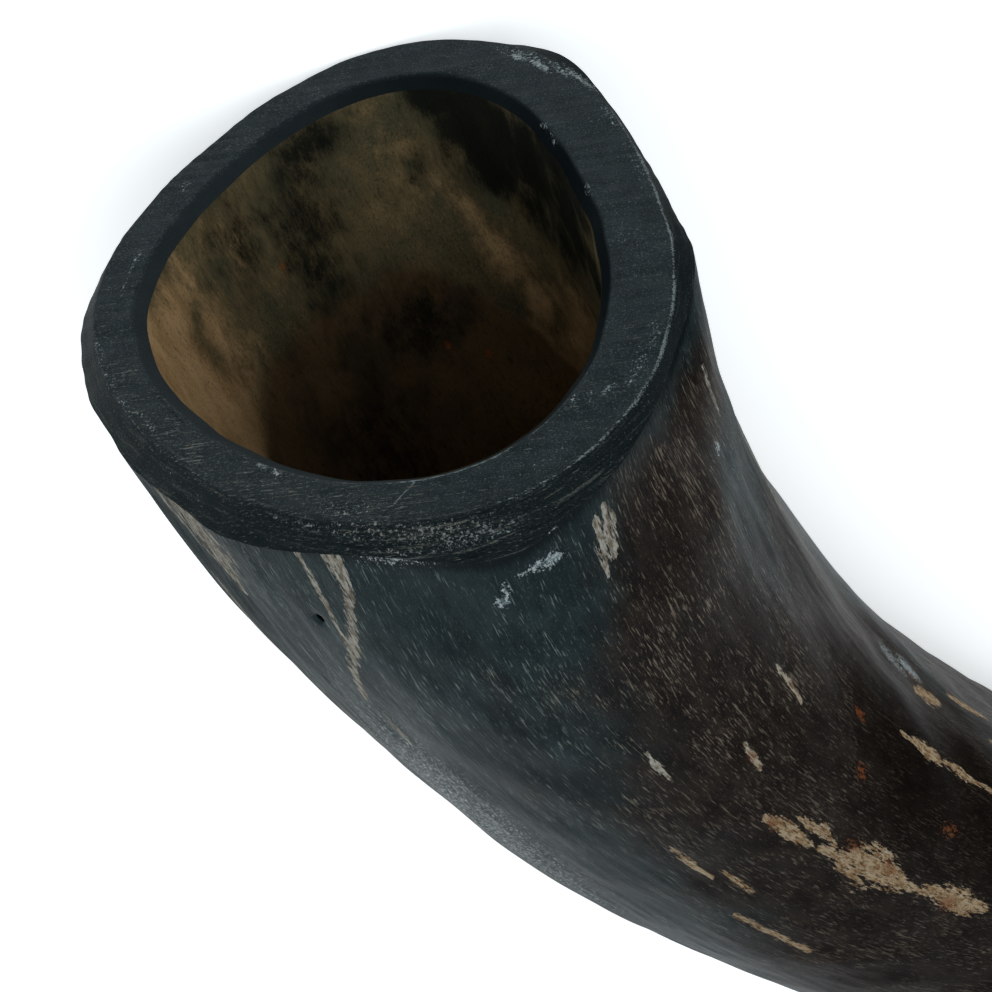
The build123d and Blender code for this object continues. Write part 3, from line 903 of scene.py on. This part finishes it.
RIM_SCORED = (
    (150, 0.6, 16, 3, 1), (128, 0.6, 14, 3.5, 1), (108, 0.6, 12, 3.5, 0.8), (172, 0.5, 10, 3, 0.5),
    (30, 0.5, 14, 4, 0.35), (60, 0.5, 14, 4, 0.4), (300, 0.6, 20, 4, 0.3),
)
# partly wear, partly a painted highlight along the flat's edges
RIM_EDGE_HIGHLIGHT_AND_WEAR = (
    (354, 1, 7, 0.30, 0.75), (5, 1, 7, 0.26, 0.8), (18, 1, 8, 0.24, 0.85), (33, 1, 8, 0.24, 0.85),
    (46, 1, 7, 0.26, 0.8), (58, 1, 6, 0.26, 0.75), (69, 1, 6, 0.26, 0.75), (80, 1, 5, 0.3, 0.6),
    (342, 1, 6, 0.3, 0.6), (146, 1, 9, 0.2, 0.5), (166, 1, 9, 0.2, 0.55), (186, 1, 8, 0.2, 0.5),
    (96, 0, 7, 0.26, 0.85), (84, 0, 7, 0.26, 0.8), (70, 0, 6, 0.2, 0.55),
    (112, 0, 6, 0.26, 0.6), (124, 0, 5, 0.26, 0.5), (56, 0, 6, 0.2, 0.45),
)

# ---- spots as on the skin, at the rim: torn fibres, and painted shade on the bevel and chamfer ----
RIM_FIBRES = ((0, 92, 1, 22, 1), (0, 150, 1, 30, 0.5), (0, 20, 1, 20, 0.35))
RIM_SHADED = ((0, 300, 1, 20, 0.7), (0, 340, 1, 34, 0.92), (0, 25, 1, 26, 0.85), (0, 62, 1, 14, 0.4))

RIM_COLUMNS = 720
BEVEL_ROWS = 8
FLAT_ROWS = 24
CHAMFER_ROWS = 13
FILED_OVERLAP = 0.08           # mm inside the flat's edge where the chamfer's look begins
FILED_BLEND = 0.25
BEVEL_BLEND = 0.5
FIBRES_INSIDE = 2.0            # mm inside the flat's edge where the torn fibres begin
FIBRES_BLEND = 2.5


def rim_spots(angle, radius, places):
    """How much points of the rim lie in soft spots"""
    inner, width = rim_edge(angle) - rim_width(angle), rim_width(angle)
    total = np.zeros(radius.shape)
    for degrees, share, length, wide, strength in places:
        round_about = apart(0, degrees, 0, angle)[1]
        across = radius - inner - share * width
        total = np.maximum(total, strength * np.exp(-(round_about / length) ** 2 - (across / wide) ** 2))
    return total


def bell_rim():
    """The sawn rim with its lip and its chamfer"""
    angle = turn_of(RIM_COLUMNS)
    lip, edge = hollow_radius(angle, 0), rim_edge(angle)
    crease_along, crease_radius = crease(angle)
    crease_depth = crease_along * (1 - crease_radius * np.cos(angle) / BELL_BEND_RADIUS)
    crease_depth = crease_depth - saw_cut_lean(angle, crease_radius)
    radius = np.concatenate([
        between(hollow_radius(angle, LIP_BEVEL), lip + LIP_BEVEL, BEVEL_ROWS)[:-1],
        between(lip + LIP_BEVEL, edge, FLAT_ROWS)[:-1],
        between(edge, crease_radius, CHAMFER_ROWS),
    ])
    depth = np.concatenate([
        between(LIP_BEVEL, 0, BEVEL_ROWS)[:-1] + 0 * angle,
        np.zeros((FLAT_ROWS - 1, 1)) + 0 * angle,
        between(0, crease_depth, CHAMFER_ROWS),
    ])
    radius[1:-1] = (radius[:-2] + 2 * radius[1:-1] + radius[2:]) / 4
    depth[1:-1] = (depth[:-2] + 2 * depth[1:-1] + depth[2:]) / 4
    filed = smooth((radius - edge + FILED_OVERLAP) / FILED_BLEND)
    bevel = smooth((lip + LIP_BEVEL - radius) / BEVEL_BLEND)
    flat = (1 - filed) * (1 - bevel)
    on_chamfer = np.clip((radius - edge) / (crease_radius - edge), 0, 1)
    sawn = saw_place(angle, radius, depth)[..., [1, 0, 2]] * (1, 1, SAW_MARK_DRAWN_OUT)
    depth = depth + SAW_MARK_HEIGHT * flat * saw_marks(sawn)
    depth = depth + SAWN_WEAR_HEIGHT * flat * edge_wear(sawn * SAWN_WEAR_FASTER)
    fibrous = spots(0, angle, RIM_FIBRES)
    layered = strands(on_rim(angle, radius - edge)) * filed * (4 * on_chamfer * (1 - on_chamfer))
    depth = depth + STRAND_HEIGHT * fibrous * layered
    along = behind_saw_cut(angle, radius, depth)
    front = horn_point(along, angle, radius)
    back_radius = hollow_radius(angle, LIP_BEVEL) + INNER_LAYER
    back = horn_point(behind_saw_cut(angle, back_radius, LIP_BEVEL), angle, back_radius)
    points = np.concatenate([front, back])
    seen = {
        "saw_place": saw_place(angle, radius, depth),
        "strand_place": on_rim(angle, radius - edge),
        "filed": filed,
        "bevel": bevel,
        "shaded": spots(0, angle, RIM_SHADED) + 0 * radius,
        "fibrous": np.clip(fibrous * smooth((radius - edge + FIBRES_INSIDE) / FIBRES_BLEND), 0, 1),
        "scored": rim_spots(angle, radius, RIM_SCORED),
        "edge_highlight_and_wear": rim_spots(angle, radius, RIM_EDGE_HIGHLIGHT_AND_WEAR),
        "dust": rim_spots(angle, radius, RIM_DUST),
        "tan": rim_spots(angle, radius, RIM_TAN),
    }
    ring_mesh("bell_rim", points, facing(front), seen, "horn_sheath", "black_horn", rim_look)


TIP_COLUMNS = 288
TIP_ROWS = 130
MOUTH_EDGE_ROWS = 9
MOUTH_FACE_ROWS = 8
CUP_ROWS = 24
BORE_ROWS = 14
CONE_ROWS = 5


def tip():
    """The solid tip with its mouthpiece cup and bore"""
    angle = turn_of(TIP_COLUMNS)
    along = between(THROAT_AT, HORN_LENGTH - MOUTH_EDGE_ROUND, TIP_ROWS)
    ghost = with_next_rows(along)[:-1]
    radius = wall_radius(ghost, angle)
    mouth = outer_radius(angle, HORN_LENGTH)
    quarter = np.linspace(0, np.pi / 2, MOUTH_EDGE_ROWS)[1:, None]
    round_radius = mouth - MOUTH_EDGE_ROUND * (1 - np.cos(quarter))
    round_along = HORN_LENGTH - MOUTH_EDGE_ROUND * (1 - np.sin(quarter)) + 0 * angle
    face_radius = between(mouth - MOUTH_EDGE_ROUND, CUP_RADIUS, MOUTH_FACE_ROWS)[1:]
    cup_share = np.linspace(0, 1, CUP_ROWS)[1:, None]
    cup_radius = BORE_RADIUS + (CUP_RADIUS - BORE_RADIUS) * np.sqrt(1 - cup_share**2) + 0 * angle
    cup_along = HORN_LENGTH - CUP_DEPTH * cup_share + 0 * angle
    bore_start = THROAT_AT + THROAT_CONE_LENGTH
    bore_along = between(HORN_LENGTH - CUP_DEPTH, bore_start, BORE_ROWS)[1:] + 0 * angle
    cone_along = between(bore_start, THROAT_AT, CONE_ROWS)[1:] + 0 * angle
    cone_radius = between(BORE_RADIUS, THROAT_CONE_RADIUS, CONE_ROWS)[1:] + 0 * angle
    all_radius = np.concatenate([
        radius, round_radius, face_radius, cup_radius, BORE_RADIUS + 0 * bore_along, cone_radius
    ])
    all_along = np.concatenate([
        ghost + 0 * angle, round_along, HORN_LENGTH + 0 * face_radius, cup_along, bore_along, cone_along
    ])
    grid = horn_point(all_along, angle, all_radius)
    normals = facing(grid)[1:]
    ring_mesh("tip", grid[1:], normals, skin_attributes(all_along[1:], angle), "solid_tip",
              "tip_horn", skin_look)


# ---- the lengths (mm along), and each piece's columns, rows and how its rows crowd at the start ----
BELL_WALL_ENDS = 108.0
MIDDLE_WALL_ENDS = 222.0
HOLLOW_FRONT_ENDS = 96.0
HOLLOW_MIDDLE_ENDS = 212.0

bell_rim()
tube("bell_wall", SHEATH, None, BELL_WALL_ENDS, RIM_COLUMNS, 128, 1.3)
tube("middle_wall", SHEATH, BELL_WALL_ENDS, MIDDLE_WALL_ENDS, 480, 150)
tube("throat_wall", SHEATH, MIDDLE_WALL_ENDS, THROAT_AT, 360, 130)
tube("hollow_front", LAYER, None, HOLLOW_FRONT_ENDS, 480, 130, 1.3)
tube("hollow_middle", LAYER, HOLLOW_FRONT_ENDS, HOLLOW_MIDDLE_ENDS, 300, 90)
tube("hollow_deep", LAYER, HOLLOW_MIDDLE_ENDS, THROAT_AT, 200, 70)
tip()

# ---- the floor ----
FLOOR_REACH = 6.0              # m from the middle to each side
FLOOR_GLOW = 0.62              # lifts the paper to the photo's white
floor_look = Look("pale_floor")
floor_grain = floor_look.noise(floor_look.add("TexCoord", {}, "Object"), 60, 60, 0, 3, 0.6)
floor_look.base = floor_look.mix(floor_grain, rgb(240, 240, 240), rgb(246, 246, 246))
floor_look.finish(0.9, floor_look.bump(floor_grain, 0.0002, 0.3), FLOOR_GLOSS)
floor_look.shader.inputs["Emission Color"].default_value = (0.96, 0.99, 1.0, 1)
floor_look.shader.inputs["Emission Strength"].default_value = FLOOR_GLOW
floor_corners = [(x * FLOOR_REACH, y * FLOOR_REACH, 0) for x, y in ((-1, -1), (1, -1), (1, 1), (-1, 1))]
floor_mesh = bpy.data.meshes.new("floor")
floor_mesh.from_pydata(floor_corners, [], [(0, 1, 2, 3)])
floor_mesh.materials.append(floor_look.material)
floor = standing("floor", floor_mesh)

# ---- the camera, in the horn's frame ----
CAMERA_AZIMUTH = np.radians(1.164)
CAMERA_ELEVATION = np.radians(44.149)
CAMERA_ROLL = np.radians(159.168)
CAMERA_DISTANCE = 246.98      # mm in front of the bell's centre, along the view
CAMERA_LENS = 72.25           # mm, on a sensor 36 mm wide
SENSOR_WIDTH = 36.0
BELL_ON_SENSOR = (-4.034, 7.961)   # mm from the sensor's middle to the bell centre's image

back = Vector((
    -np.cos(CAMERA_ELEVATION) * np.cos(CAMERA_AZIMUTH),
    np.cos(CAMERA_ELEVATION) * np.sin(CAMERA_AZIMUTH),
    np.sin(CAMERA_ELEVATION),
))
level_up = (Vector((0, 0, 1)) - back * back.z).normalized()
level_right = level_up.cross(back)
right = level_right * np.cos(CAMERA_ROLL) + level_up * np.sin(CAMERA_ROLL)
up = level_up * np.cos(CAMERA_ROLL) - level_right * np.sin(CAMERA_ROLL)
beside, above = (CAMERA_DISTANCE * offset / CAMERA_LENS for offset in BELL_ON_SENSOR)
camera_place = back * CAMERA_DISTANCE - right * beside - up * above

camera_data = bpy.data.cameras.new("camera")
camera_data.lens = CAMERA_LENS
camera_data.sensor_width = SENSOR_WIDTH
camera_data.clip_start = 0.01
camera = standing("camera", camera_data)
turned = lie @ Matrix((right, up, back)).transposed()
camera.matrix_world = Matrix.Translation((lie @ camera_place + bell_centre) / 1000) @ turned.to_4x4()
bpy.context.scene.camera = camera

# ---- the light ----
LAMP_PLACE = Vector((-0.5, 0.0, 1.5))    # m
LAMP_TARGET = Vector((-0.1, -0.05, 0.04))
LAMP_SIZE = 1.6
LAMP_POWER = 19

lamp_data = bpy.data.lights.new("overhead", "AREA")
lamp_data.size = LAMP_SIZE
lamp_data.energy = LAMP_POWER
lamp_data.color = (0.92, 0.97, 1.0)
lamp = standing("overhead", lamp_data)
lamp.location = LAMP_PLACE
lamp.rotation_euler = (LAMP_TARGET - LAMP_PLACE).to_track_quat("-Z", "Y").to_euler()
world = bpy.data.worlds.new("studio")
world.use_nodes = True
sky = world.node_tree.nodes["Background"]
sky.inputs["Color"].default_value = (0.86, 0.94, 1.0, 1)
sky.inputs["Strength"].default_value = 0.14
bpy.context.scene.world = world
bpy.context.scene.view_settings.view_transform = "Standard"
